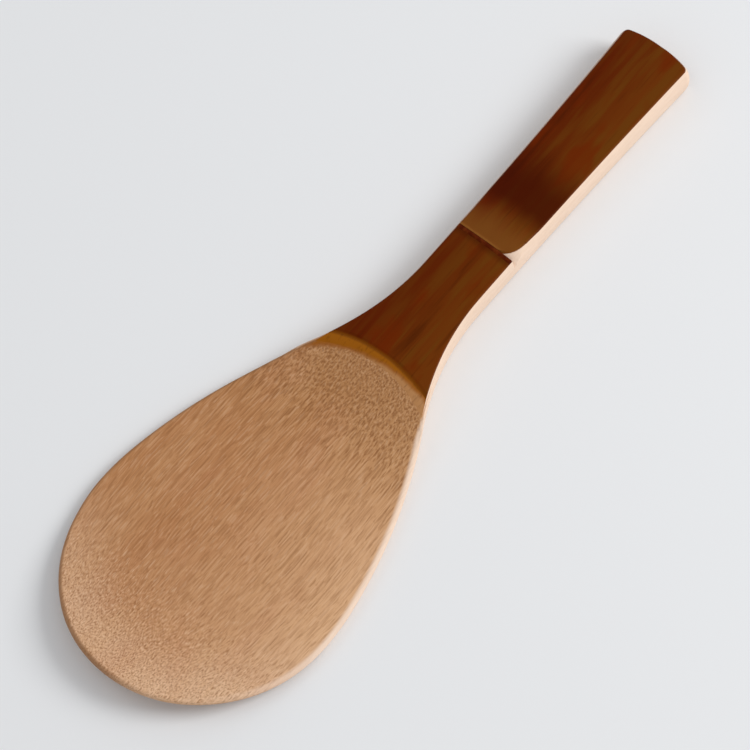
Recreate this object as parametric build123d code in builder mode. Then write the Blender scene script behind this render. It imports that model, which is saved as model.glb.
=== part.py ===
from build123d import *

import os
from math import atan2, cos, degrees, sin, sqrt, tan

# Bamboo rice paddle, carved from one strip of a smoked culm, in millimetres.
# +X is the paddle's right-hand side, +Y runs from the blade to the butt, +Z is the bark side.
# The origin is at the middle of the length, on the surface that the paddle rests on.

# Outline seen from above: each arc runs on from the one before it
paddle_length = 200.6
blade_width = 65.0
widest_from_tip = 36.5
brow_inset = 0.8
brow_run = 10.0
flank_width = 33.4
flank_from_tip = 90.0
waist_width = 17.3
butt_width = 20.2
butt_crown = 1.6
butt_corner = 3.2

# Sides rounded like a barrel, narrower at the sole and at the bark than at the belly
belly_height = 4.2
sole_inset = 1.0
bark_inset = 2.5
blank_height = 11.0

# Culm: the round stem that the strip was split from, thicker towards the butt
culm_radius = 85.0
neck_height = 8.8
butt_height = 9.8
rind_thickness = 0.4
cortex_thickness = 0.9
hollow_depth = 0.45
hollow_runout = 30.0

# Node: the ring where the leaf sheath grew, with the end of its diaphragm underneath
node_from_tip = 133.1
node_width = 1.1
node_rise = 0.3
swelling_run = 12.0
swelling_crest = 4.8
swelling_rise = 0.45
stub_width = 3.2
stub_thickness = 0.3

# Corner of the grip trimmed off beside the node, on the right
trim_radius = 6.0
trim_run = 5.4
trim_depth = 3.2
rind_edge_inset = 1.1

# Blade: the face is scooped out of the wall, crowned in the middle and dished at the tip
shoulder_from_tip = 98.0
scoop_run = 24.0
floor_height = 3.8
tip_run = 27.0
tip_height = 7.6
tip_thickness = 1.7
face_crown = 1.3
tip_dish = 1.2

# Sole: flat behind, rising to the lifted tip
sole_run = 50.0
sole_dish = 1.6
sole_sink = 0.3

rim_bevel = 0.9
overrun = 4.0
section_count = 9

half_blade = blade_width / 2
tip_y = -paddle_length / 2
butt_y = paddle_length / 2
widest_y = tip_y + widest_from_tip
brow_y = widest_y + brow_run
flank_y = tip_y + flank_from_tip
shoulder_y = tip_y + shoulder_from_tip
scoop_y = shoulder_y - scoop_run
node_y = tip_y + node_from_tip
node_start_y = node_y - node_width / 2
node_end_y = node_y + node_width / 2
bark_depth = rind_thickness + cortex_thickness

# Right-hand edge at the belly: a half oval tip of two arcs a side, as blunt at its end as an ellipse,
# and a waist whose arc ends in line with the grip
turn_share = half_blade**2 / (2 * half_blade**2 + 2 * half_blade * widest_from_tip + widest_from_tip**2)
turn_x = (2 * half_blade + widest_from_tip) * turn_share
turn_y = tip_y + widest_from_tip * turn_share
with BuildLine() as right_edge:
    tip_arc = TangentArc((0, tip_y), (turn_x, turn_y), tangent=(1, 0))
    side_arc = TangentArc(tip_arc @ 1, (half_blade, widest_y), tangent=tip_arc % 1)
    brow_arc = TangentArc(side_arc @ 1, (half_blade - brow_inset, brow_y), tangent=side_arc % 1)
    flank_arc = TangentArc(brow_arc @ 1, (flank_width / 2, flank_y), tangent=brow_arc % 1)
    flank_angle = atan2(-(flank_arc % 1).X, (flank_arc % 1).Y)
    waist_run = (flank_width - waist_width) / 2 / tan(flank_angle / 2)
    waist_arc = TangentArc(flank_arc @ 1, (waist_width / 2, flank_y + waist_run), tangent=flank_arc % 1)


def outline(height, inset):
    """Outline of the blank at a height, drawn inside the belly's outline by inset."""
    half_end = butt_width / 2 - inset
    end_y = butt_y - inset - butt_crown
    with BuildSketch(Plane.XY.offset(height)) as flat:
        with BuildLine():
            corner = Vector(0, tip_y + inset)
            heading = Vector(1, 0)
            for arc in (tip_arc, side_arc, brow_arc, flank_arc, waist_arc):
                along = arc % 1
                inward = Vector(-along.Y, along.X) * inset
                edge = TangentArc(corner, arc @ 1 + inward, tangent=heading)
                corner = edge @ 1
                heading = edge % 1
            grip_arc = TangentArc(corner, (half_end, end_y), tangent=heading)
            ThreePointArc(grip_arc @ 1, (0, butt_y - inset), (-half_end, end_y))
            mirror(edges()[0:6], about=Plane.YZ)
        make_face()
        fillet(flat.vertices().group_by(Axis.Y)[-1], butt_corner - inset)
    return flat.sketch


def face_height(y):
    """Height of the scooped face on the centre line: flat floor, lifted tip, round shoulder."""
    scoop_rise = neck_height - floor_height
    scoop_radius = (scoop_run**2 + scoop_rise**2) / (2 * scoop_rise)
    climb = max(0, y - scoop_y)
    tip_share = max(0, tip_y + tip_run - y) / tip_run
    tip_part = (tip_height - floor_height) * tip_share**2
    return floor_height + tip_part + scoop_radius - sqrt(scoop_radius**2 - climb**2)


def arched_section(y, centre_height, edge_height, closing_height):
    """Section across the blade, bounded by an arched line and a flat one."""
    half_width = half_blade + overrun
    with BuildSketch(Plane.XZ.offset(-y)) as section:
        with BuildLine():
            Bezier(
                (-half_width, edge_height),
                (0, 2 * centre_height - edge_height),
                (half_width, edge_height),
            )
            Polyline(
                (half_width, edge_height),
                (half_width, closing_height),
                (-half_width, closing_height),
                (-half_width, edge_height),
            )
        make_face()
    return section.sketch


# The culm's axis lies under the paddle; radii are drawn on a plane through it and turned about it
culm_axis = Axis((0, 0, neck_height - culm_radius), (0, -1, 0))
culm_taper = (butt_height - neck_height) / (butt_y - shoulder_y)
culm_half_angle = half_blade / culm_radius
culm_plane = Plane(
    origin=culm_axis.position,
    x_dir=(0, 1, 0),
    z_dir=(cos(culm_half_angle), 0, -sin(culm_half_angle)),
)


def bark_radius(y):
    return culm_radius + culm_taper * (y - shoulder_y)


def bark_ring(depth):
    """Everything of the culm from a depth under the bark outwards, with a ridge at the node."""
    start_y = shoulder_y - scoop_run / 2
    end_y = butt_y + overrun
    crest_y = node_end_y + swelling_crest
    swell_y = node_end_y + swelling_run
    with BuildSketch(culm_plane) as ring:
        with BuildLine():
            neck_line = Line(
                (start_y, bark_radius(start_y) - depth),
                (node_start_y, bark_radius(node_start_y) - depth),
            )
            ThreePointArc(
                neck_line @ 1,
                (node_y, bark_radius(node_y) - depth + node_rise),
                (node_end_y, bark_radius(node_end_y) - depth),
            )
            Spline(
                (node_end_y, bark_radius(node_end_y) - depth),
                (crest_y, bark_radius(crest_y) + swelling_rise - depth),
                (swell_y, bark_radius(swell_y) - depth),
                tangents=((1, culm_taper), (1, culm_taper)),
            )
            Polyline(
                (swell_y, bark_radius(swell_y) - depth),
                (end_y, bark_radius(end_y) - depth),
                (end_y, bark_radius(end_y) + blank_height),
                (start_y, bark_radius(start_y) + blank_height),
                neck_line @ 0,
            )
        make_face()
    with BuildPart() as solid:
        add(ring.sketch)
        revolve(axis=culm_axis, revolution_arc=degrees(2 * culm_half_angle))
    return solid.part


# Blank: the strip as split and rounded, before its face and sole are carved
with BuildPart() as blank:
    add(outline(0, sole_inset))
    add(outline(belly_height, 0))
    add(outline(blank_height, bark_inset))
    loft()

with BuildPart() as face_cutter:
    for step in range(section_count):
        share = step / (section_count - 1)
        y = tip_y - overrun + (shoulder_from_tip + 2 * overrun) * share
        tip_share = max(0, tip_y + tip_run - y) / tip_run
        edge_drop = face_crown - (face_crown + tip_dish) * tip_share
        centre = face_height(y)
        add(arched_section(y, centre, centre - edge_drop, blank_height + overrun))
    loft()

with BuildPart() as sole_cutter:
    for step in range(section_count):
        share = step / (section_count - 1)
        y = tip_y + sole_run - (sole_run + overrun) * share
        centre = (tip_height - tip_thickness + sole_sink) * share**2 - sole_sink
        add(arched_section(y, centre, centre + sole_dish * share**2, -overrun))
    loft()

# Hollow: the culm's inner wall shows as a shallow groove under the grip and runs out at the neck
hollow_radius = culm_radius - neck_height + hollow_depth
hollow_y = shoulder_y + hollow_runout
with BuildPart() as hollow_cutter:
    with BuildSketch(culm_plane) as hollow_sketch:
        with BuildLine():
            Polyline(
                (shoulder_y, hollow_radius - hollow_depth - sole_sink),
                (hollow_y, hollow_radius),
                (butt_y + overrun, hollow_radius),
                (butt_y + overrun, hollow_radius - overrun),
                (shoulder_y, hollow_radius - overrun),
                close=True,
            )
        make_face()
    revolve(axis=culm_axis, revolution_arc=degrees(2 * culm_half_angle))

# Trim: a flat ramp, turned about the rounded corner, takes the grip's right corner off beside the node
trim_x = waist_width / 2 - rind_edge_inset - trim_radius
trim_floor = neck_height - trim_depth
with BuildPart() as trim_cutter:
    with BuildSketch(Plane.XY.offset(trim_floor)) as trim_sketch:
        with Locations((trim_x, node_end_y)):
            Rectangle(2 * trim_radius, trim_run, align=(Align.MIN, Align.MIN))
    extrude(amount=blank_height - trim_floor)
    with Locations((trim_x, node_end_y + trim_run, trim_floor)):
        Cone(
            trim_radius + trim_depth,
            trim_radius + neck_height - blank_height,
            blank_height - trim_floor,
            align=(Align.CENTER, Align.CENTER, Align.MIN),
            mode=Mode.SUBTRACT,
        )

# Form: the strip carved all round, with its rim bevelled, before it is parted into layers
with BuildPart() as form:
    add(blank.part)
    add(face_cutter.part, mode=Mode.SUBTRACT)
    rim_edges = form.faces().sort_by(SortBy.AREA)[-1].edges()
    rim_edges = rim_edges.filter_by_position(Axis.Y, tip_y - overrun, shoulder_y)
    chamfer(rim_edges, rim_bevel)
    add(bark_ring(0), mode=Mode.SUBTRACT)
    add(sole_cutter.part, mode=Mode.SUBTRACT)
    add(hollow_cutter.part, mode=Mode.SUBTRACT)
    add(trim_cutter.part, mode=Mode.SUBTRACT)

# Bark layers, from the surface inwards: rind, then the darker cortex under it
with BuildPart() as rind:
    add(form.part)
    add(bark_ring(rind_thickness), mode=Mode.INTERSECT)

with BuildPart() as cortex_band:
    add(form.part)
    add(bark_ring(bark_depth), mode=Mode.INTERSECT)
    add(bark_ring(rind_thickness), mode=Mode.SUBTRACT)
cortex_band.part.label = "cortex_band"

with BuildPart() as culm_wall:
    add(form.part)
    add(bark_ring(bark_depth), mode=Mode.SUBTRACT)
culm_wall.part.label = "culm_wall"

with BuildPart() as neck_rind:
    add(rind.part)
    split(bisect_by=Plane.XZ.offset(-node_start_y), keep=Keep.TOP)
neck_rind.part.label = "neck_rind"

with BuildPart() as node_ridge:
    add(rind.part)
    split(bisect_by=Plane.XZ.offset(-node_start_y), keep=Keep.BOTTOM)
    split(bisect_by=Plane.XZ.offset(-node_end_y), keep=Keep.TOP)
node_ridge.part.label = "node_ridge"

with BuildPart() as handle_rind:
    add(rind.part)
    split(bisect_by=Plane.XZ.offset(-node_end_y), keep=Keep.BOTTOM)
handle_rind.part.label = "handle_rind"

# Diaphragm stub: a low crescent across the hollow, under the node
with BuildPart() as diaphragm_stub:
    with BuildSketch(culm_plane) as stub_sketch:
        with Locations((node_y, hollow_radius)):
            Rectangle(stub_width, stub_thickness, align=(Align.CENTER, Align.MAX))
    revolve(axis=culm_axis, revolution_arc=degrees(2 * culm_half_angle))
    split(bisect_by=Plane.XY, keep=Keep.TOP)
    add(blank.part, mode=Mode.INTERSECT)
diaphragm_stub.part.label = "diaphragm_stub"

os.makedirs("parts", exist_ok=True)
export_step(culm_wall.part, "parts/culm_wall.step")
export_step(cortex_band.part, "parts/cortex_band.step")
export_step(neck_rind.part, "parts/neck_rind.step")
export_step(node_ridge.part, "parts/node_ridge.step")
export_step(handle_rind.part, "parts/handle_rind.step")
export_step(diaphragm_stub.part, "parts/diaphragm_stub.step")
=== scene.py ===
import math

import bmesh
import bpy
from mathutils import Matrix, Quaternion, Vector, noise


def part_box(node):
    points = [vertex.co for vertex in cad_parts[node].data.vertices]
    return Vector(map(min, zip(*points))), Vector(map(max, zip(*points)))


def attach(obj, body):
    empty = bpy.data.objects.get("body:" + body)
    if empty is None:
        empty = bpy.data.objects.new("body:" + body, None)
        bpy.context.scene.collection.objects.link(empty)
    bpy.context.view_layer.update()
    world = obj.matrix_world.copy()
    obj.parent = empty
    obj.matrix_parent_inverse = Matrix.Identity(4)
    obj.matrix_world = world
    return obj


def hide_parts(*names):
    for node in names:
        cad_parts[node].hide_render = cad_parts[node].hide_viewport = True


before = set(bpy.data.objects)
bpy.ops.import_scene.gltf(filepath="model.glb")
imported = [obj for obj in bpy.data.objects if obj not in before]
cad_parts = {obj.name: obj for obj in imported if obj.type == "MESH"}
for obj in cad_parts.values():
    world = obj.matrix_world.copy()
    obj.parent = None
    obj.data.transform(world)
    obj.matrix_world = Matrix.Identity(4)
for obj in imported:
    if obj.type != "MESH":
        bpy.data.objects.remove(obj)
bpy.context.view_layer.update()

# Shapes are worked out in millimetres on the CAD pieces' own boxes, and scaled once
mm = 0.001
tiny = 1e-6  # keeps divisions away from zero
wallLow, wallHigh = (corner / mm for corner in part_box("culm_wall"))
ridgeLow, ridgeHigh = (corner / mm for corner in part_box("node_ridge"))
print("frame loaded")

# The strip: outline seen from above, and the barrel shape of its sides
strip = {
    "tipY": wallLow.y,
    "buttY": wallHigh.y,
    "halfBlade": 32.5,
    "widestFromTip": 36.5,
    "browInset": 0.8,
    "browRun": 10.0,
    "halfFlank": 16.7,
    "flankFromTip": 90.0,
    "halfWaist": 8.65,
    "halfButt": 10.1,
    "buttCrown": 1.6,
    "buttCorner": 2.6,
    "bellyHeight": 4.2,  # the sides lean in above and below this height
    "soleInset": 1.0,
    "barkInset": 2.5,
    "blankHeight": 11.0,  # a little over the highest bark
    "step": 0.5,  # between points of the outline
}

# The culm that it was split from
culm = {
    "radius": 85.0,
    "neckHeight": 8.8,
    "buttHeight": 9.8,
    "shoulderY": strip["tipY"] + 98.0,
    "rind": 0.4,
    "cortex": 0.9,
    "nodeStartY": ridgeLow.y,
    "nodeEndY": ridgeHigh.y,
    "swellingRun": 12.0,
    "swellingRise": 0.45,
    "swellingSkew": 0.72,  # under 1, so the crest is nearer to the node
    "hollowDepth": 0.45,
    "hollowRunout": 30.0,
}
bark = culm["rind"] + culm["cortex"]
axisHeight = culm["neckHeight"] - culm["radius"]
taper = (culm["buttHeight"] - culm["neckHeight"]) / (strip["buttY"] - culm["shoulderY"])

# The carving: face, shoulder, lifted tip and sole
carving = {
    "floorHeight": 3.8,
    "scoopRun": 24.0,
    "scoopEnd": 0.9,  # share of the scoop's radius by which it has left the bark
    "tipRun": 27.0,
    "tipHeight": 7.6,
    "tipThickness": 1.7,
    "faceCrown": 1.3,
    "tipDish": 1.2,
    "archHalfWidth": 36.0,
    "soleRun": 50.0,
    "soleDish": 1.6,
    "soleSink": 0.3,
    "rimRound": 0.9,
    "soleRound": 0.5,
    "waviness": 0.05,
    "waveSize": 7.0,
    "waveSeed": 1.7,
}

# The cut that trims the grip's right corner off beside the node
trim = {
    "radius": 6.0,
    "run": 5.4,
    "fromEdge": 1.1,
    "after": 0.01,  # it starts this far behind the node
    "stepGap": 0.02,  # points this near on either side draw the step
    "pointStep": 0.1,
    "points": 30,
    "blend": 0.05,
}
trimX = strip["halfWaist"] - trim["fromEdge"] - trim["radius"]
trimY = culm["nodeEndY"] + trim["run"]


def arcPoints(start, heading, end, step):
    # points of the arc that leaves start along heading and reaches end, each with its heading
    chord = end - start
    first = math.atan2(heading.y, heading.x)
    turn = math.atan2(heading.x * chord.y - heading.y * chord.x, heading.dot(chord))
    count = max(2, round(chord.length / step))
    points = []
    for index in range(1, count + 1):
        share = index / count
        reach = chord.length * (math.sin(turn * share) / math.sin(turn) if abs(turn) > tiny else share)
        place = start + Vector((math.cos(first + turn * share), math.sin(first + turn * share))) * reach
        along = first + 2 * turn * share
        points.append((place, Vector((math.cos(along), math.sin(along)))))
    return points


def rightEdge():
    # right-hand edge from the tip to the middle of the butt
    tipY = strip["tipY"]
    half = strip["halfBlade"]
    widest = strip["widestFromTip"]
    # the tip's two arcs meet in line with each other where this share says
    turnShare = half**2 / (2 * half**2 + 2 * half * widest + widest**2)
    corners = [
        Vector(((2 * half + widest) * turnShare, tipY + widest * turnShare)),
        Vector((half, tipY + widest)),
        Vector((half - strip["browInset"], tipY + widest + strip["browRun"])),
        Vector((strip["halfFlank"], tipY + strip["flankFromTip"])),
    ]
    place = Vector((0, tipY))
    heading = Vector((1, 0))
    points = [(place, heading)]
    for corner in corners:
        points += arcPoints(place, heading, corner, strip["step"])
        place, heading = points[-1]
    # the waist's arc ends in line with the grip
    turn = math.atan2(-heading.x, heading.y)
    waistRun = (strip["halfFlank"] - strip["halfWaist"]) / math.tan(turn / 2)
    points += arcPoints(place, heading, Vector((strip["halfWaist"], place.y + waistRun)), strip["step"])
    place, heading = points[-1]
    # the butt's corner is rounded between the grip's arc and the crown's
    crownRadius = (strip["halfButt"]**2 + strip["buttCrown"]**2) / (2 * strip["buttCrown"])
    crownSlope = math.asin(strip["halfButt"] / crownRadius)
    back = strip["buttCorner"] * math.tan((math.pi / 2 - crownSlope) / 2)
    cornerY = strip["buttY"] - strip["buttCrown"]
    points += arcPoints(place, heading, Vector((strip["halfButt"], cornerY - back)), strip["step"])
    place, heading = points[-1]
    ahead = Vector((-math.cos(crownSlope), math.sin(crownSlope))) * back
    points += arcPoints(place, heading, Vector((strip["halfButt"], cornerY)) + ahead, strip["step"] / 2)
    place, heading = points[-1]
    points += arcPoints(place, heading, Vector((0, strip["buttY"])), strip["step"])
    # two points close together where the trimmed corner starts as a step, and fine ones along it
    fineStart = culm["nodeEndY"] + trim["stepGap"]
    extra = [culm["nodeEndY"] - trim["stepGap"]]
    extra += [fineStart + trim["pointStep"] * index for index in range(trim["points"])]
    for y in extra:
        after = next(index for index, (spot, _) in enumerate(points) if spot.y > y)
        before, beyond = points[after - 1], points[after]
        share = (y - before[0].y) / (beyond[0].y - before[0].y)
        points.insert(after, (before[0].lerp(beyond[0], share), before[1].lerp(beyond[1], share)))
    return points


edgePoints = rightEdge()


def halfWidth(y):
    # half the outline's width at the belly, by a search along the right-hand edge
    low, high = 0, len(edgePoints) - 1
    while high - low > 1:
        middle = (low + high) // 2
        if edgePoints[middle][0].y <= y:
            low = middle
        else:
            high = middle
    first, second = edgePoints[low][0], edgePoints[high][0]
    share = min(1, max(0, (y - first.y) / max(second.y - first.y, tiny)))
    return first.x + (second.x - first.x) * share


def barrelInset(z):
    # how far the side stands in from the outline at a height
    belly = strip["bellyHeight"]
    if z < belly:
        return strip["soleInset"] * ((belly - z) / belly)**2
    return strip["barkInset"] * ((z - belly) / (strip["blankHeight"] - belly))**2


def barkRadius(y):
    grown = culm["radius"] + taper * (y - culm["shoulderY"])
    swell = (y - culm["nodeEndY"]) / culm["swellingRun"]
    if 0 < swell < 1:
        grown += culm["swellingRise"] * math.sin(math.pi * swell**culm["swellingSkew"])**2
    return grown


def barkHeight(x, y, depth=0.0):
    return axisHeight + math.sqrt((barkRadius(y) - depth)**2 - x * x)


def ease(value, low, high):
    # 0 at low and 1 at high, with a smooth start and end
    share = min(1, max(0, (value - low) / (high - low)))
    return share * share * (3 - 2 * share)


def stretchFrom(place, lengths):
    # the two places that lie two lengths past a place, or before it where they are negative
    return place + lengths[0], place + lengths[1]


def wave(x, y, size, seed):
    # unevenness from about -1 to 1, three times as long as it is wide
    return noise.noise(Vector((x / size, y / (3 * size), seed)))


def faceHeight(x, y):
    # the carved face: crowned in the middle, dished at the tip, with the scoop up to the shoulder
    scoopRise = culm["neckHeight"] - carving["floorHeight"]
    scoopRadius = (carving["scoopRun"]**2 + scoopRise**2) / (2 * scoopRise)
    climb = max(0, y - (culm["shoulderY"] - carving["scoopRun"]))
    if climb >= scoopRadius * carving["scoopEnd"]:
        return strip["blankHeight"]
    tipShare = max(0, strip["tipY"] + carving["tipRun"] - y) / carving["tipRun"]
    centre = carving["floorHeight"] + (carving["tipHeight"] - carving["floorHeight"]) * tipShare**2
    centre += scoopRadius - math.sqrt(scoopRadius**2 - climb**2)
    drop = carving["faceCrown"] - (carving["faceCrown"] + carving["tipDish"]) * tipShare
    centre -= drop * (x / carving["archHalfWidth"])**2
    return centre + carving["waviness"] * wave(x, y, carving["waveSize"], carving["waveSeed"])


def trimHeight(x, y):
    # a cone-shaped ramp where the corner is trimmed off, and clear of the bark elsewhere
    if x < trimX or y > trimY or y < culm["nodeEndY"] + trim["after"]:
        return strip["blankHeight"]
    away = math.hypot(x - trimX, y - trimY) - trim["radius"]
    return culm["neckHeight"] - away


def trimmed(x, y, depth):
    # how far the trimmed corner lies open at a depth under the bark
    return ease(barkHeight(x, y, depth) - trimHeight(x, y), 0.0, trim["blend"])


def carvedHeight(x, y):
    return min(faceHeight(x, y), trimHeight(x, y))


def soleHeight(x, y):
    # the sole: lifted to the tip, flat under the blade, hollow under the grip
    share = (strip["tipY"] + carving["soleRun"] - y) / carving["soleRun"]
    height = 0.0
    if share > 0:
        centre = carving["tipHeight"] - carving["tipThickness"] + carving["soleSink"]
        arch = carving["soleDish"] * share**2 * (x / carving["archHalfWidth"])**2
        height = max(0, centre * share**2 - carving["soleSink"] + arch)
    if y > culm["shoulderY"]:
        run = min(1, (y - culm["shoulderY"]) / culm["hollowRunout"])
        rise = culm["hollowDepth"] * run - carving["soleSink"] * (1 - run)
        height = max(height, math.sqrt((rise - axisHeight)**2 - x * x) + axisHeight)
    return height


def roundDrop(distance, radius):
    # how far a rounded edge drops at a distance in from it
    if distance >= radius:
        return 0.0
    return radius - math.sqrt(radius**2 - (radius - max(0, distance))**2)


sharpAngle = math.radians(40)  # edges that turn by more stay sharp


def makePiece(name, vertices, faces, nodeName):
    mesh = bpy.data.meshes.new(name)
    mesh.from_pydata([Vector(vertex) * mm for vertex in vertices], [], faces)
    mesh.validate()
    mesh.update()
    piece = bpy.data.objects.new(name, mesh)
    bpy.context.scene.collection.objects.link(piece)
    for polygon in mesh.polygons:
        polygon.use_smooth = True
    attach(piece, "root")
    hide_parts(nodeName)
    return piece


def addShare(piece, name, values):
    # one value for each point, which a material reads by its name
    share = piece.data.attributes.new(name, "FLOAT", "POINT")
    share.data.foreach_set("value", values)


# Culm wall: one closed skin of rings that follow the outline inwards to the middle line
wall = {
    "innerRings": 34,
    "rimAngles": 5,
    "sideLevels": 6,
    "parallelRings": (0.4, 0.85),  # past the rim, before the rings draw in to the middle
    "tipFoot": 27.0,  # the rings at the tip and the butt draw in to points this far from the ends
    "buttFoot": 7.0,
    "crispEdge": 0.03,
    "rimFade": (9.0, 14.0),  # from a crisp edge to a round rim, before the shoulder
    "creamReach": 1.7,
    "creamFade": (4.0, 12.0),  # from narrow to wide, before the shoulder
    "creamSeam": 0.28,
    "creamBlend": 0.05,
    # on the left the cream is narrower and fainter: painted shade on the side away from the lamp
    "leftShadedNarrower": 6.0,
    "leftShadedCream": 0.5,
    "sidewaysFade": (0.2, 0.7),  # how squarely a stretch of edge faces sideways
    "creamFromTip": (6.0, 38.0),
    "weldWithin": 0.01,
    "sliverUnder": 0.001,
}


def wallTop(x, y):
    # the face alone on the blade, and the underside of the bark from the shoulder on
    if y < culm["shoulderY"] - carving["scoopRun"] / 2:
        return faceHeight(x, y)
    return min(carvedHeight(x, y), barkHeight(x, y, bark))


def rimRadius(y):
    # the blade's rim is bevelled round; along the bark it stays crisp
    share = ease(culm["shoulderY"] - y, *wall["rimFade"])
    return wall["crispEdge"] + (carving["rimRound"] - wall["crispEdge"]) * share


def creamAt(place, distance):
    # the pale side runs in over the rim: wide on the blade's right, and hardly at all on its left, where
    # the narrowing is painted shade on the side away from the lamp
    reach = wall["creamReach"] if place.x > 0 else wall["creamReach"] / wall["leftShadedNarrower"]
    reach *= ease(culm["shoulderY"] - place.y, *wall["creamFade"])
    reach = max(reach, wall["creamSeam"])
    return ease(-distance, -reach - wall["creamBlend"], -reach / 2)


def mirrored(flat):
    return Vector((-flat.x, flat.y))


def rimPoint(place, inward, distance, surface, sign, radius):
    # a point at a distance in from the side, with its rim rounded; a few rounds settle its inset
    inset = 0.0
    for _ in range(3):
        spot = place + inward * (inset + distance)
        z = surface(spot.x, spot.y) - sign * roundDrop(distance, radius)
        inset = barrelInset(z)
    return Vector((spot.x, spot.y, z))


def drawnIn(place, ringPoint, surface, share):
    # a point of the last parallel ring, drawn in towards the middle line
    vertex, distance, _ = ringPoint
    start = vertex.to_2d()
    footY = min(max(place.y, strip["tipY"] + wall["tipFoot"]), strip["buttY"] - wall["buttFoot"])
    spot = start.lerp(Vector((0, footY)), share)
    height = surface(spot.x, spot.y)
    return Vector((spot.x, spot.y, height)), distance + (spot - start).length, 0.0


def surfaceRings(loop, surface, sign, radiusAt):
    # rings from the rim inwards, on the top (sign 1) or the sole (sign -1)
    # each point has its distance from the rim, and its share of the pale side
    turns = [math.pi / 2 * index / wall["rimAngles"] for index in range(wall["rimAngles"] + 1)]
    steps = [(1 - math.cos(turn), 0.0, 1 - math.sin(turn)) for turn in turns]
    steps += [(1.0, further, 0.0) for further in wall["parallelRings"]]
    found = []
    for rounded, further, onSole in steps:
        ring = []
        for place, inward in loop:
            radius = radiusAt(place.y)
            distance = radius * rounded + further
            onSide = creamAt(place, distance) if sign > 0 else onSole
            ring.append((rimPoint(place, inward, distance, surface, sign, radius), distance, onSide))
        found.append(ring)
    lastParallel = found[-1]
    for index in range(1, wall["innerRings"] + 1):
        share = index / wall["innerRings"]
        pairs = zip(loop, lastParallel)
        found.append([drawnIn(place, ringPoint, surface, share) for (place, _), ringPoint in pairs])
    return found


def buildCulmWall():
    right = [(place, Vector((-along.y, along.x))) for place, along in edgePoints]
    loop = right + [(mirrored(place), mirrored(inward)) for place, inward in right[-2:0:-1]]
    top = surfaceRings(loop, wallTop, 1, rimRadius)
    sole = surfaceRings(loop, soleHeight, -1, lambda y: carving["soleRound"])
    side = []
    for level in range(1, wall["sideLevels"]):
        ring = []
        for index, (place, inward) in enumerate(loop):
            lowZ, highZ = sole[0][index][0].z, top[0][index][0].z
            z = lowZ + (highZ - lowZ) * level / wall["sideLevels"]
            ring.append((Vector((*(place + inward * barrelInset(z)), z)), 0.0, 1.0))
        side.append(ring)
    rings = sole[::-1] + side + top
    count = len(loop)
    faces = []
    for row in range(len(rings) - 1):
        low = row * count
        high = low + count
        for column in range(count):
            beside = (column + 1) % count
            faces.append((low + column, low + beside, high + beside, high + column))
    vertices = [vertex for ring in rings for vertex, _, _ in ring]
    piece = makePiece("culmWall", vertices, faces, "culm_wall")
    cream, fromRim = [], []
    for ring in rings:
        for (_, inward), (vertex, distance, sideShare) in zip(loop, ring):
            sideways = ease(abs(inward.x), *wall["sidewaysFade"])
            sideways *= ease(vertex.y - strip["tipY"], *wall["creamFromTip"])
            onTop = vertex.z > strip["bellyHeight"]
            cutOpen = trimmed(vertex.x, vertex.y, culm["rind"]) if onTop else 0.0
            # the left sides get less cream: painted shade on the side away from the lamp
            paleness = 1.0 if vertex.x > 0 else wall["leftShadedCream"]
            cream.append(max(sideShare * sideways * paleness, cutOpen))
            fromRim.append(distance)
    addShare(piece, "creamShare", cream)
    addShare(piece, "fromRim", fromRim)
    weldMiddle(piece)
    return piece


def weldMiddle(piece):
    # the rings meet along the middle line, where their points are joined
    work = bmesh.new()
    work.from_mesh(piece.data)
    bmesh.ops.remove_doubles(work, verts=work.verts, dist=wall["weldWithin"] * mm)
    bmesh.ops.dissolve_degenerate(work, edges=work.edges, dist=wall["sliverUnder"] * mm)
    work.to_mesh(piece.data)
    work.free()
    for polygon in piece.data.polygons:
        polygon.use_smooth = True
    piece.data.set_sharp_from_angle(angle=sharpAngle)


culmWall = buildCulmWall()
print("culm wall", len(culmWall.data.vertices), "points")


# Bark skins: grids across the strip, from one line to another along it, closed below
skins = {
    "edgeSteps": (0.0, 0.03, 0.08, 0.16, 0.3, 0.55),
    "columns": 56,
    "rowStep": 0.8,
    "fineStep": 0.25,
    "fineBefore": 0.8,  # the fine rows start this far before the node's end
    "clearRow": 0.05,  # no other row lies this near to the trimmed corner's step
    "edgeRound": 0.12,
    "film": 0.02,  # a skin reaches this far into what it lies on, and stands at least as far above it
    "fade": 24.0,  # a skin's end lines lose their shape over this length
    "shoulderSearch": (-20.0, 4.0),
    "halvings": 30,
    "alongGrip": 0.999,  # the outline runs straight along the grip where its heading passes this
    "heightInset": 1.0,  # the bark's height at an edge is taken this far inside it
}


def shoulderLine(x, depth):
    # where the carved face meets a depth under the bark, by halving a stretch about the shoulder
    low, high = stretchFrom(culm["shoulderY"], skins["shoulderSearch"])
    for _ in range(skins["halvings"]):
        middle = (low + high) / 2
        if faceHeight(x, middle) < barkHeight(x, middle, depth):
            low = middle
        else:
            high = middle
    return (low + high) / 2


def nodeStart(x, depth):
    return culm["nodeStartY"]


def nodeEnd(x, depth):
    return culm["nodeEndY"]


def gripStart(x, depth):
    # front line of the grip's rind: straight along the node, then round the trimmed corner
    y = culm["nodeEndY"]
    for _ in range(4):
        radius = trim["radius"] + culm["neckHeight"] - barkHeight(x, y, depth)
        y = max(culm["nodeEndY"], trimY - math.sqrt(max(0, radius**2 - max(0, x - trimX)**2)))
    return y


def gripEnd(x, depth):
    # back line of a skin: the butt's crown and corners, drawn in by the barrel
    inset = barrelInset(barkHeight(x, strip["buttY"] - strip["buttCorner"], depth))
    nearer = Vector((0, strip["buttY"] - inset))
    for place, along in reversed(edgePoints):
        further = place + Vector((-along.y, along.x)) * inset
        if further.x >= abs(x) or along.y > skins["alongGrip"]:
            break
        nearer = further
    share = min(1, (abs(x) - nearer.x) / max(further.x - nearer.x, tiny))
    return nearer.y + (further.y - nearer.y) * share


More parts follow.
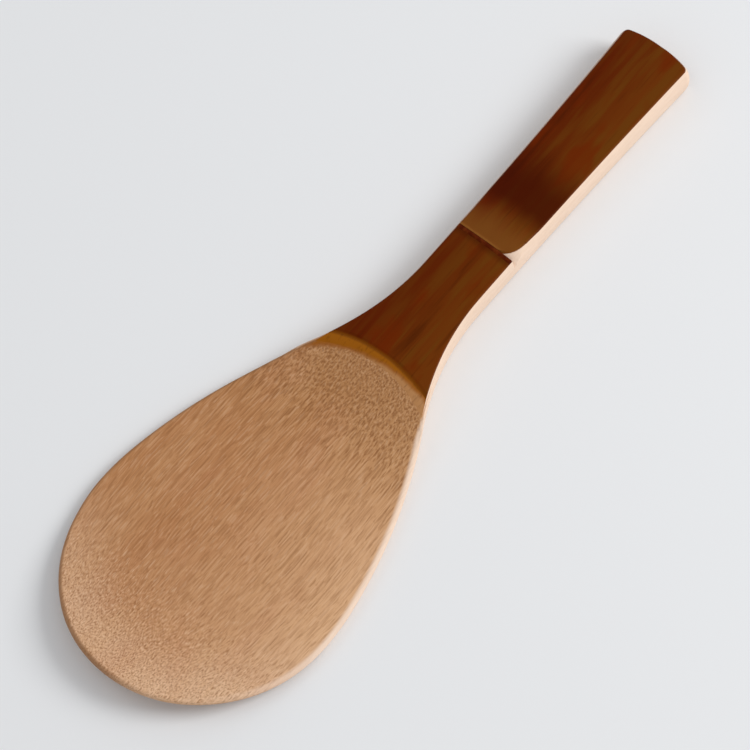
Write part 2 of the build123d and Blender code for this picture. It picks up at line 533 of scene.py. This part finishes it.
def skinWidth(y, depth):
    # half a skin's width, which stays the same round the butt's corners
    y = min(y, strip["buttY"] - strip["buttCorner"] - strip["buttCrown"])
    half = halfWidth(y)
    return half - barrelInset(barkHeight(half - skins["heightInset"], y, depth))


def crowded(length, steps, spacing, fineFrom=None, fineTo=None):
    # places along a length: crowded at both ends and, where asked, over a fine stretch
    places = list(steps)
    while places[-1] < length - steps[-1] - spacing:
        fine = fineFrom is not None and fineFrom <= places[-1] < fineTo
        places.append(places[-1] + (skins["fineStep"] if fine else spacing))
    return places + [length - step for step in reversed(steps)]


def skinRows(start, end):
    # places along a skin's middle line, fine where the corner is trimmed
    fineFrom = culm["nodeEndY"] - skins["fineBefore"] - start
    rows = crowded(end - start, skins["edgeSteps"], skins["rowStep"], fineFrom, trimY - start)
    if fineFrom > 0:
        # one row on either side of the step where the trimmed corner starts
        atStep = fineFrom + skins["fineBefore"]
        rows = [row for row in rows if abs(row - atStep) > skins["clearRow"]]
        rows = sorted(rows + [atStep - trim["stepGap"], atStep + trim["stepGap"]])
    return rows


def skinColumns():
    # shares of a skin's half width, from -1 at the left to 1 at the right
    typical = 2 * strip["halfWaist"]
    step = (typical - 2 * skins["edgeSteps"][-1]) / skins["columns"]
    return [2 * place / typical - 1 for place in crowded(typical, skins["edgeSteps"], step)]


def skinFaces(rowCount, width):
    # the top, the underside, and the wall that joins them round the rim
    count = rowCount * width
    faces = []
    for row in range(rowCount - 1):
        for column in range(width - 1):
            first = row * width + column
            after = first + width
            faces.append((first, first + 1, after + 1, after))
            faces.append((count + first, count + after, count + after + 1, count + first + 1))
    rim = list(range(width))
    rim += [row * width + width - 1 for row in range(1, rowCount)]
    rim += [(rowCount - 1) * width + column for column in range(width - 2, -1, -1)]
    rim += [row * width for row in range(rowCount - 2, 0, -1)]
    for corner, beside in zip(rim, rim[1:] + rim[:1]):
        faces.append((corner, count + corner, count + beside, beside))
    return faces


def underSkin(x, y, depth):
    # what a skin lies on, also where the corner is trimmed off
    return min(barkHeight(x, y, depth), trimHeight(x, y))


def sideCream(x, atSide, atButt):
    # a skin's share of the pale side: its side edges, and the butt's corners, held lower on the left as
    # painted shade
    share = float(atSide)
    if atButt:
        cornerStart = strip["halfButt"] - strip["buttCorner"]
        share = ease(abs(x), cornerStart, strip["halfButt"] - strip["barkInset"])
    return share if x > 0 else wall["leftShadedCream"] * share


def buildSkin(name, nodeName, startLine, endLine, topDepth, lowDepth, relief=None):
    middleStart, middleEnd = startLine(0, topDepth), endLine(0, topDepth)
    rows = skinRows(middleStart, middleEnd)
    across = skinColumns()

    def placeAt(row, share, depth):
        # the place of a row and a share of the width, after the shapes of the skin's end lines
        fromStart = max(0, 1 - row / skins["fade"])
        fromEnd = max(0, 1 - (rows[-1] - row) / skins["fade"])
        y = middleStart + row
        for _ in range(2):
            x = share * skinWidth(y, depth)
            ahead = (startLine(x, depth) - middleStart) * fromStart if fromStart else 0.0
            behind = (endLine(x, depth) - middleEnd) * fromEnd if fromEnd else 0.0
            y = middleStart + row + ahead + behind
        return x, y

    tops, lows, topCream, lowCream = [], [], [], []
    for row in rows:
        atButt = topDepth > 0 and row == rows[-1]
        for share in across:
            atSide = row > 0 and abs(share) == 1
            x, y = placeAt(row, share, topDepth)
            z = barkHeight(x, y, topDepth)
            if relief:
                toSide = skinWidth(y, topDepth) * (1 - abs(share))
                z += relief(x, y, row / rows[-1])
                z -= roundDrop(min(toSide, rows[-1] - row), skins["edgeRound"])
            z = max(min(z, carvedHeight(x, y)), underSkin(x, y, lowDepth) + skins["film"])
            tops.append((x, y, z))
            cutOpen = trimmed(x, y, topDepth) if topDepth > 0 else 0.0
            topCream.append(max(sideCream(x, atSide, atButt), cutOpen))
            x, y = placeAt(row, share, lowDepth)
            lows.append((x, y, underSkin(x, y, lowDepth) - skins["film"]))
            lowCream.append(sideCream(x, atSide, atButt))
    faces = skinFaces(len(rows), len(across))
    piece = makePiece(name, tops + lows, faces, nodeName)
    piece.data.set_sharp_from_angle(angle=sharpAngle)
    addShare(piece, "creamShare", topCream + lowCream)
    return piece


# What stands up from the smooth bark: each relief takes a place and its share of the skin's length
reliefs = {
    "neckWave": (0.03, 3, 4.1),  # height, size and seed
    "gripWave": (0.03, 4, 9.3),
    "lipHeight": 0.1,
    "lipRun": 0.9,
    "lipFade": 0.7,
    "scarHeight": 0.25,
    "scarLumps": (0.6, 0.8),  # steady share and varying share
    "scarCloseness": 0.55,
    "scarSeed": 2.2,
}


def neckRelief(x, y, along):
    height, size, seed = reliefs["neckWave"]
    return height * wave(x, y, size, seed)


def gripRelief(x, y, along):
    # a low lip where the leaf sheath stood, then the bark's own unevenness
    height, size, seed = reliefs["gripWave"]
    lip = reliefs["lipHeight"] * ease(culm["nodeEndY"] + reliefs["lipRun"] - y, 0.0, reliefs["lipFade"])
    return lip + height * wave(x, y, size, seed)


def ridgeRelief(x, y, along):
    crest = math.sin(math.pi * min(1, max(0, along)))
    steady, varying = reliefs["scarLumps"]
    lumps = steady + varying * noise.noise(Vector((x * reliefs["scarCloseness"], 0, reliefs["scarSeed"])))
    return reliefs["scarHeight"] * crest * lumps


rind = culm["rind"]
cortexBand = buildSkin(
    "cortexBand", "cortex_band", shoulderLine, gripEnd, rind, bark,
)
neckRind = buildSkin(
    "neckRind", "neck_rind", shoulderLine, nodeStart, 0.0, rind, neckRelief,
)
handleRind = buildSkin(
    "handleRind", "handle_rind", gripStart, gripEnd, 0.0, rind, gripRelief,
)
nodeRidge = buildSkin(
    "nodeRidge", "node_ridge", nodeStart, nodeEnd, 0.0, rind, ridgeRelief,
)
print("bark skins laid")


class Graph:
    # a material's nodes, with one short call for each kind used here
    def __init__(self, name):
        self.material = bpy.data.materials.new(name)
        self.material.use_nodes = True
        self.tree = self.material.node_tree
        self.tree.nodes.clear()
        self.shader = self.tree.nodes.new("ShaderNodeBsdfPrincipled")
        output = self.tree.nodes.new("ShaderNodeOutputMaterial")
        self.tree.links.new(self.shader.outputs["BSDF"], output.inputs["Surface"])
        coordinates = self.tree.nodes.new("ShaderNodeTexCoord")
        parts = self.tree.nodes.new("ShaderNodeSeparateXYZ")
        self.tree.links.new(coordinates.outputs["Object"], parts.inputs[0])
        # places are handled in millimetres
        self.x, self.y, self.z = (self.math("MULTIPLY", part, 1 / mm) for part in parts.outputs)

    def put(self, socket, value):
        if isinstance(value, bpy.types.NodeSocket):
            self.tree.links.new(value, socket)
        elif isinstance(value, tuple) and len(value) == 3 and socket.type == "RGBA":
            socket.default_value = (*value, 1.0)
        else:
            socket.default_value = value

    def math(self, operation, first, second=0.0, third=0.0):
        node = self.tree.nodes.new("ShaderNodeMath")
        node.operation = operation
        for socket, value in zip(node.inputs, (first, second, third)):
            self.put(socket, value)
        return node.outputs[0]

    def times(self, *values):
        product = values[0]
        for value in values[1:]:
            product = self.math("MULTIPLY", product, value)
        return product

    def ease(self, value, low, high, first=0.0, last=1.0):
        # from first at low to last at high, with a smooth start and end
        node = self.tree.nodes.new("ShaderNodeMapRange")
        node.interpolation_type = "SMOOTHSTEP"
        names = ("Value", "From Min", "From Max", "To Min", "To Max")
        for name, given in zip(names, (value, low, high, first, last)):
            self.put(node.inputs[name], given)
        return node.outputs[0]

    def mix(self, share, first, second):
        node = self.tree.nodes.new("ShaderNodeMix")
        node.data_type = "RGBA"
        node.clamp_factor = True
        self.put(node.inputs[0], share)
        self.put(node.inputs[6], first)
        self.put(node.inputs[7], second)
        return node.outputs[2]

    def vector(self, x, y, z):
        node = self.tree.nodes.new("ShaderNodeCombineXYZ")
        for socket, value in zip(node.inputs, (x, y, z)):
            self.put(socket, value)
        return node.outputs[0]

    def noise(self, sizes, detail=3.0, roughness=0.5, seed=0.0):
        # soft noise, its patches about as long in x, y and z as sizes says
        pairs = zip((self.x, self.y, self.z), sizes)
        place = [self.math("MULTIPLY_ADD", part, 1 / size, seed) for part, size in pairs]
        return self.noiseAt(self.vector(*place), 1.0, detail, roughness)

    def noiseAt(self, place, scale, detail, roughness):
        node = self.tree.nodes.new("ShaderNodeTexNoise")
        self.put(node.inputs["Vector"], place)
        node.inputs["Scale"].default_value = scale
        node.inputs["Detail"].default_value = detail
        node.inputs["Roughness"].default_value = roughness
        return node.outputs["Fac"]

    def cells(self, x, y):
        node = self.tree.nodes.new("ShaderNodeTexVoronoi")
        node.voronoi_dimensions = "2D"
        node.inputs["Scale"].default_value = 1.0
        self.put(node.inputs["Vector"], self.vector(x, y, 0.0))
        return node.outputs["Distance"], node.outputs["Color"]

    def attribute(self, name):
        node = self.tree.nodes.new("ShaderNodeAttribute")
        node.attribute_name = name
        return node.outputs["Fac"]

    def bump(self, height, strength, distance):
        node = self.tree.nodes.new("ShaderNodeBump")
        node.inputs["Strength"].default_value = strength
        node.inputs["Distance"].default_value = distance * mm
        self.put(node.inputs["Height"], height)
        self.put(self.shader.inputs["Normal"], node.outputs[0])

    def finish(self, base, look):
        self.put(self.shader.inputs["Base Color"], base)
        self.shader.inputs["Roughness"].default_value = look["roughness"]
        self.shader.inputs["Specular IOR Level"].default_value = look["gloss"]
        self.shader.inputs["Specular Tint"].default_value = (*look["glossTint"], 1.0)
        return self.material


def linear(value):
    # a screen value from 0 to 1, as the amount of light that it stands for
    return ((value + 0.055) / 1.055)**2.4 if value > 0.04045 else value / 12.92


def colour(red, green, blue):
    # a colour as it is seen on screen, from 0 to 255
    return tuple(linear(value / 255) for value in (red, green, blue))


def aboveAxis(graph):
    return graph.math("SUBTRACT", graph.z, axisHeight)


def barkAngle(graph):
    # angle round the culm, from straight up
    return graph.math("ARCTAN2", graph.x, aboveAxis(graph))


def barkDepth(graph):
    # millimetres under the bark, from the culm's own circle
    up = aboveAxis(graph)
    reach = graph.math("SQRT", graph.math("ADD", graph.times(graph.x, graph.x), graph.times(up, up)))
    grown = graph.math("MULTIPLY_ADD", graph.y, taper, culm["radius"] - taper * culm["shoulderY"])
    return graph.math("SUBTRACT", grown, reach)


# Bare bamboo: fibre bundles run along the culm, so that the slanted cuts show them as dots
bambooLook = {
    # left and right: painted shade on the left and painted sheen on the right of the face
    "left": colour(181, 124, 79),
    "right": colour(220, 174, 132),
    # the shoulder's pair is darker: painted shade where the shoulder's slope turns from the lamp
    "shoulderLeft": colour(176, 123, 76),
    "shoulderRight": colour(192, 142, 96),
    "pale": colour(228, 190, 156),
    "pink": colour(188, 128, 92),
    "dot": colour(140, 90, 50),
    "ray": colour(208, 160, 114),
    "cream": colour(244, 217, 195),
    "shadedRimLeft": colour(146, 102, 66),
    "paleWidth": 60.0,
    "palePower": 2.4,
    # fibre bundles: their spacing, how unevenly they run, and how the dots are drawn out
    "pitchAcross": 0.75,
    "pitchDeep": 0.32,
    "slender": 1.35,
    "sway": 0.2,
    "swaySize": (1.3, 3.0, 1.3),
    "wander": 1.5,
    "wanderSize": (9, 40, 9),
    "lean": 0.065,
    "levelFromTip": 46.0,
    "speckScale": 1.25,
    "tipSpeckScale": 1.9,
    # streaks and patches: about how large they are in x, y and z
    "streakSize": (0.5, 7, 0.8),
    "broadSize": (5, 60, 8),
    "patchSize": (14, 22, 14),
    "patchSeed": 3.3,
    # stretches along the blade, from the shoulder, the tip or the rim
    "toShoulder": (-42.0, -8.0),
    "toTip": (42.0, 8.0),
    "layers": (-22.0, -14.0),
    "tipSheenRim": (17.0, 1.5),
    "rimShadeReach": (1.1, 0.4),
    # stretches across the blade
    "tipSheenAcross": (-30.0, 20.0),
    "rimShadeAcross": (12.0, -4.0),
    "bump": (0.5, 0.12),
    "roughness": 0.55,
    "gloss": 0.2,
    "glossTint": (1.0, 0.85, 0.7),
}

# The layers between bark and wood, where a cut crosses them
layerLook = {
    "brown": colour(118, 62, 7),
    "amber": colour(152, 87, 11),
    "orange": colour(152, 90, 34),
    "amberDepth": (0.4, 0.62),
    "woodAt": 1.02,
    "leanAcross": 0.038,
    "uneven": 0.3,
    "unevenSize": (1.5, 4, 1.5),
    "orangeRun": (-0.25, 0.0),
    "woodRun": (-0.08, 0.3),
}


def layered(graph, depth, wood):
    # brown close under the rind, then amber, a thin orange edge, and wood
    soft = graph.noise(layerLook["unevenSize"], 2)
    lean = graph.math("MULTIPLY_ADD", graph.x, layerLook["leanAcross"], depth)
    lean = graph.math("MULTIPLY_ADD", soft, layerLook["uneven"], lean)
    edge = layerLook["woodAt"] + layerLook["uneven"] / 2
    toAmber = graph.ease(depth, *layerLook["amberDepth"])
    toOrange = graph.ease(lean, *stretchFrom(edge, layerLook["orangeRun"]))
    toWood = graph.ease(lean, *stretchFrom(edge, layerLook["woodRun"]))
    base = graph.mix(toAmber, layerLook["brown"], layerLook["amber"])
    base = graph.mix(toOrange, base, layerLook["orange"])
    return graph.mix(toWood, base, wood)


def sheenToRightShare(graph):
    # painted sheen: the wood is lit paler towards the right, most of all close to the edge
    across = graph.math("MULTIPLY_ADD", graph.x, 1 / bambooLook["paleWidth"], 0.5)
    return graph.math("POWER", graph.math("MAXIMUM", across, 0.0), bambooLook["palePower"])


def creamColour(graph, streak):
    # the wood's pale sides, with a trace of the streaks
    return graph.mix(graph.ease(streak, 0.3, 0.7, 0.0, 0.12), bambooLook["cream"], bambooLook["ray"])


def bambooMaterial():
    graph = Graph("smokedBamboo")
    look = bambooLook
    # where a point lies among the fibre bundles, across them and deep into the wall
    depth = barkDepth(graph)
    sway = graph.math("SUBTRACT", graph.noise(look["swaySize"], 2), 0.5)
    wander = graph.noise(look["wanderSize"], 2)
    girth = graph.math("MULTIPLY", barkAngle(graph), culm["radius"] / look["pitchAcross"])
    across = graph.math("MULTIPLY_ADD", wander, look["wander"], girth)
    level = strip["tipY"] + look["levelFromTip"]
    fromLevel = graph.math("ABSOLUTE", graph.math("SUBTRACT", graph.y, level))
    deep = graph.math("MULTIPLY_ADD", sway, 2 * look["sway"], depth)
    deep = graph.math("MULTIPLY_ADD", fromLevel, -look["lean"], deep)
    deep = graph.math("MULTIPLY", deep, 1 / look["pitchDeep"])
    # dots, specks, streaks and patches
    distance, tint = graph.cells(across, deep)
    dot = graph.ease(distance, 0.55, 0.15)
    speckPlace = graph.vector(graph.times(across, look["slender"]), deep, 0.0)
    speck = graph.noiseAt(speckPlace, look["speckScale"], 2, 0.6)
    tipSpeck = graph.noiseAt(speckPlace, look["tipSpeckScale"], 2, 0.6)
    streak = graph.noise(look["streakSize"], 4, 0.6)
    broad = graph.noise(look["broadSize"], 3, 0.55)
    patch = graph.noise(look["patchSize"], 2, 0.5, look["patchSeed"])
    toShoulder = graph.ease(graph.y, *stretchFrom(culm["shoulderY"], look["toShoulder"]))
    toTip = graph.ease(graph.y, *stretchFrom(strip["tipY"], look["toTip"]))
    speck = graph.math("MULTIPLY_ADD", graph.math("SUBTRACT", tipSpeck, speck), toTip, speck)
    # the wood's colour, with painted sheen that makes it paler to the right and round the tip
    toRight = sheenToRightShare(graph)
    base = graph.mix(toRight, look["left"], look["right"])
    # painted shade over the shoulder, darker where its slope faces away from the lamp
    base = graph.mix(toShoulder, base, graph.mix(toRight, look["shoulderLeft"], look["shoulderRight"]))
    # painted sheen round the tip, near the rim and stronger to the right
    tipSheenShare = graph.ease(graph.attribute("fromRim"), *look["tipSheenRim"], 0.15, 0.85)
    tipSheenShare = graph.times(tipSheenShare, graph.ease(graph.x, *look["tipSheenAcross"], 0.65, 1.0))
    base = graph.mix(graph.times(toTip, tipSheenShare), base, look["pale"])
    base = graph.mix(graph.ease(patch, 0.5, 0.75, 0.0, 0.3), base, look["pink"])
    base = graph.mix(graph.ease(broad, 0.35, 0.7, 0.0, 0.25), base, look["ray"])
    base = graph.mix(graph.ease(streak, 0.45, 0.75, 0.0, 0.3), base, look["ray"])
    base = graph.mix(graph.ease(streak, 0.5, 0.25, 0.0, 0.3), base, look["dot"])
    # fibre ends, which show most where the cut slants
    crossCut = graph.math("MAXIMUM", toShoulder, toTip)
    darker = graph.times(graph.ease(speck, 0.53, 0.32), graph.ease(crossCut, 0.0, 1.0, 0.35, 0.75))
    base = graph.mix(darker, base, look["dot"])
    paler = graph.times(graph.ease(speck, 0.5, 0.7), graph.ease(toTip, 0.0, 1.0, 0.25, 0.75))
    base = graph.mix(paler, base, look["pale"])
    dark = graph.times(dot, graph.ease(tint, 0.7, 0.4), graph.ease(toShoulder, 0.0, 1.0, 0.2, 0.55))
    base = graph.mix(dark, base, look["dot"])
    # layers at the shoulder, painted shade on the left rim, and the cream sides
    onShoulder = graph.ease(graph.y, *stretchFrom(culm["shoulderY"], look["layers"]))
    base = graph.mix(onShoulder, base, layered(graph, depth, base))
    nearRim = graph.ease(graph.attribute("fromRim"), *look["rimShadeReach"])
    leftRimShade = graph.times(graph.ease(graph.x, *look["rimShadeAcross"], 0.0, 0.7), nearRim)
    base = graph.mix(leftRimShade, base, look["shadedRimLeft"])
    base = graph.mix(graph.attribute("creamShare"), base, creamColour(graph, streak))
    graph.bump(graph.math("SUBTRACT", streak, graph.times(dot, 0.8)), *look["bump"])
    return graph.finish(base, look)


# Smoked bark: dark and smooth, redder on the left, olive and paler on the right, with faint streaks along
# it; the paler right is partly painted sheen
rindLook = {
    "left": colour(88, 24, 1),
    "right": colour(104, 48, 8),
    "red": colour(102, 30, 1),
    "olive": colour(100, 54, 10),
    "deep": colour(58, 14, 1),
    "swelling": colour(120, 70, 26),
    "lip": colour(134, 84, 36),
    "darkest": colour(62, 5, 0),
    "streakSize": (0.5, 16, 2),
    "ribbonSize": (2.6, 30, 6),
    "ribbonSeed": 5.1,
    "patchSize": (5, 13, 8),
    "patchSeed": 8.7,
    "rippleSize": (1.6, 30, 9),
    "rippleSeed": 1.9,
    "patchReach": 5.0,
    "rippleReach": 0.7,
    # stretches along the grip, from the node's end
    "swellingStart": (-0.5, 0.1),
    "swellingFade": (3.5, 11.5),
    "darkStart": (9.0, 15.5),
    "darkFade": (19.0, 33.0),
    "lipStart": (-0.1, 0.0),
    "lipFade": (1.0, 0.6),
    "lipShadowStart": (0.0, -0.1),
    "lipShadowFade": (-2.6, -0.7),
    "cutDepth": (0.12, 0.42),
    # stretches across the grip
    "toRight": (-9.0, 9.0),
    "oliveAcross": (-7.0, 2.0),
    "lipAcross": (6.0, 1.0),
    "bump": (0.25, 0.08),
    "roughness": 0.42,
    "gloss": 0.16,
    "glossTint": (1.0, 0.45, 0.1),
}


def rindMaterial():
    graph = Graph("smokedRind")
    look = rindLook
    streak = graph.noise(look["streakSize"], 4, 0.6)
    ribbon = graph.noise(look["ribbonSize"], 3, 0.55, look["ribbonSeed"])
    patch = graph.noise(look["patchSize"], 2, 0.5, look["patchSeed"])
    # redder on the left to paler on the right: partly the bark's colour, partly painted sheen from the
    # lamp at the right
    base = graph.mix(graph.ease(graph.x, *look["toRight"]), look["left"], look["right"])
    acrossShare = graph.ease(graph.x, *look["oliveAcross"], 0.35, 0.85)
    olive = graph.times(graph.ease(ribbon, 0.42, 0.62), acrossShare)
    base = graph.mix(olive, base, look["olive"])
    base = graph.mix(graph.ease(patch, 0.52, 0.7, 0.0, 0.7), base, look["red"])
    base = graph.mix(graph.ease(ribbon, 0.42, 0.25, 0.0, 0.5), base, look["deep"])
    base = graph.mix(graph.ease(streak, 0.45, 0.2, 0.0, 0.5), base, look["deep"])
    # behind the node: the swelling is paler, a painted highlight on its bulge, and the stretch after it
    # is the darkest
    node = culm["nodeEndY"]
    uneven = graph.math("MULTIPLY_ADD", patch, look["patchReach"], graph.y)
    swellingHighlight = graph.times(
        graph.ease(graph.y, *stretchFrom(node, look["swellingStart"])),
        graph.ease(uneven, *stretchFrom(node, look["swellingFade"]), 0.85, 0.0),
    )
    base = graph.mix(swellingHighlight, base, look["swelling"])
    darkening = graph.times(
        graph.ease(uneven, *stretchFrom(node, look["darkStart"])),
        graph.ease(uneven, *stretchFrom(node, look["darkFade"]), 0.85, 0.0),
    )
    base = graph.mix(darkening, base, look["darkest"])
    # at the node: a pale lip behind the scar, and painted shadow before it, under the lip
    rippleNoise = graph.noise(look["rippleSize"], 3, 0.6, look["rippleSeed"])
    ripple = graph.math("MULTIPLY_ADD", rippleNoise, look["rippleReach"], graph.y)
    lip = graph.times(
        graph.ease(graph.y, *stretchFrom(node, look["lipStart"])),
        graph.ease(ripple, *stretchFrom(node, look["lipFade"])),
    )
    lipShare = graph.times(lip, graph.ease(graph.x, *look["lipAcross"], 0.2, 0.8))
    base = graph.mix(lipShare, base, look["lip"])
    # painted shadow under the lip, on the neck side of the node
    lipShadow = graph.times(
        graph.ease(graph.y, *stretchFrom(node, look["lipShadowStart"])),
        graph.ease(ripple, *stretchFrom(node, look["lipShadowFade"])),
    )
    base = graph.mix(graph.times(lipShadow, 0.5), base, look["deep"])
    # brown where the rind's own cut edge shows
    base = graph.mix(graph.ease(barkDepth(graph), *look["cutDepth"]), base, layerLook["brown"])
    graph.bump(graph.math("ADD", streak, graph.times(ribbon, 0.6)), *look["bump"])
    return graph.finish(base, look)


# Cortex: the amber layer between bark and wood, cream where it was cut at the sides
cortexLook = {
    "streakSize": (0.5, 12, 0.6),
    "bump": (0.3, 0.08),
    "roughness": 0.48,
    "gloss": 0.16,
    "glossTint": (1.0, 0.7, 0.3),
}


def cortexMaterial():
    graph = Graph("amberCortex")
    streak = graph.noise(cortexLook["streakSize"], 4, 0.6)
    # the shoulder's wood colours, with their painted shade and the same painted sheen to the right
    wood = graph.mix(sheenToRightShare(graph), bambooLook["shoulderLeft"], bambooLook["shoulderRight"])
    base = layered(graph, barkDepth(graph), wood)
    base = graph.mix(graph.ease(streak, 0.5, 0.25, 0.0, 0.3), base, rindLook["deep"])
    base = graph.mix(graph.attribute("creamShare"), base, creamColour(graph, streak))
    graph.bump(streak, *cortexLook["bump"])
    return graph.finish(base, cortexLook)


# Sheath scar: a dark, lumpy line across the grip
scarLook = {
    "dark": colour(74, 18, 3),
    "brown": colour(98, 38, 8),
    "rippleSize": (2.4, 3, 9),
    "bump": (0.5, 0.2),
    "roughness": 0.6,
    "gloss": 0.12,
    "glossTint": (1.0, 0.5, 0.15),
}


def scarMaterial():
    graph = Graph("sheathScar")
    ripple = graph.noise(scarLook["rippleSize"], 3, 0.6)
    base = graph.mix(graph.ease(ripple, 0.4, 0.65), scarLook["dark"], scarLook["brown"])
    graph.bump(ripple, *scarLook["bump"])
    return graph.finish(base, scarLook)


bambooFinish = bambooMaterial()
rindFinish = rindMaterial()
finishes = (
    (culmWall, bambooFinish),
    (cortexBand, cortexMaterial()),
    (neckRind, rindFinish),
    (handleRind, rindFinish),
    (nodeRidge, scarMaterial()),
    (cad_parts["diaphragm_stub"], bambooFinish),
)
for piece, finish in finishes:
    piece.data.materials.clear()
    piece.data.materials.append(finish)
print("finishes made")


# Studio: a pale floor, one large soft lamp at the right and a weaker one across from it
studio = {
    "floor": colour(236, 237, 238),
    "floorRoughness": 0.9,
    "floorSize": 6.0,
    "floorHeight": -0.00005,
    "lampPower": 10.0,
    "lampSize": 0.7,
    "lampPlace": (0.75, 0.72, 0.85),
    "fillPower": 1.4,
    "fillPlace": (-0.9, -0.3, 1.2),
    "skyStrength": 0.56,
    "skyColour": (0.97, 0.98, 1.0),
}


def addLamp(name, place, power):
    light = bpy.data.lights.new(name, "AREA")
    light.energy = power
    light.size = studio["lampSize"]
    lamp = bpy.data.objects.new(name, light)
    lamp.location = place
    lamp.rotation_euler = (-Vector(place)).to_track_quat("-Z", "Y").to_euler()
    bpy.context.scene.collection.objects.link(lamp)


def buildStudio():
    half, low = studio["floorSize"] / 2, studio["floorHeight"]
    corners = [(-half, -half, low), (half, -half, low), (half, half, low), (-half, half, low)]
    mesh = bpy.data.meshes.new("floor")
    mesh.from_pydata(corners, [], [(0, 1, 2, 3)])
    floor = bpy.data.objects.new("floor", mesh)
    bpy.context.scene.collection.objects.link(floor)
    graph = Graph("paleFloor")
    graph.shader.inputs["Base Color"].default_value = (*studio["floor"], 1.0)
    graph.shader.inputs["Roughness"].default_value = studio["floorRoughness"]
    mesh.materials.append(graph.material)
    addLamp("keyLamp", studio["lampPlace"], studio["lampPower"])
    addLamp("fillLamp", studio["fillPlace"], studio["fillPower"])
    world = bpy.data.worlds.new("softSky")
    bpy.context.scene.world = world
    world.use_nodes = True
    sky = world.node_tree.nodes["Background"]
    sky.inputs["Color"].default_value = (*studio["skyColour"], 1.0)
    sky.inputs["Strength"].default_value = studio["skyStrength"]


# Camera: a long lens held above the blade's right-hand side, placed in millimetres
view = {
    "place": (226.59, -286.38, 781.85),
    "aim": (-1.21, -5.32, 0.0),
    "roll": -0.155,
    "lens": 182.47,
    "sensor": 36.0,
    "clipStart": 0.01,
    "clipEnd": 20.0,
}


def buildCamera():
    lens = bpy.data.cameras.new("camera")
    lens.lens = view["lens"]
    lens.sensor_width = view["sensor"]
    lens.clip_start = view["clipStart"]
    lens.clip_end = view["clipEnd"]
    camera = bpy.data.objects.new("camera", lens)
    place = Vector(view["place"]) * mm
    turned = (Vector(view["aim"]) * mm - place).to_track_quat("-Z", "Y")
    turned = turned @ Quaternion((0, 0, 1), math.radians(view["roll"]))
    camera.location = place
    camera.rotation_euler = turned.to_euler()
    bpy.context.scene.collection.objects.link(camera)
    bpy.context.scene.camera = camera


buildStudio()
buildCamera()
bpy.context.scene.view_settings.view_transform = "Standard"
print("studio and camera set")
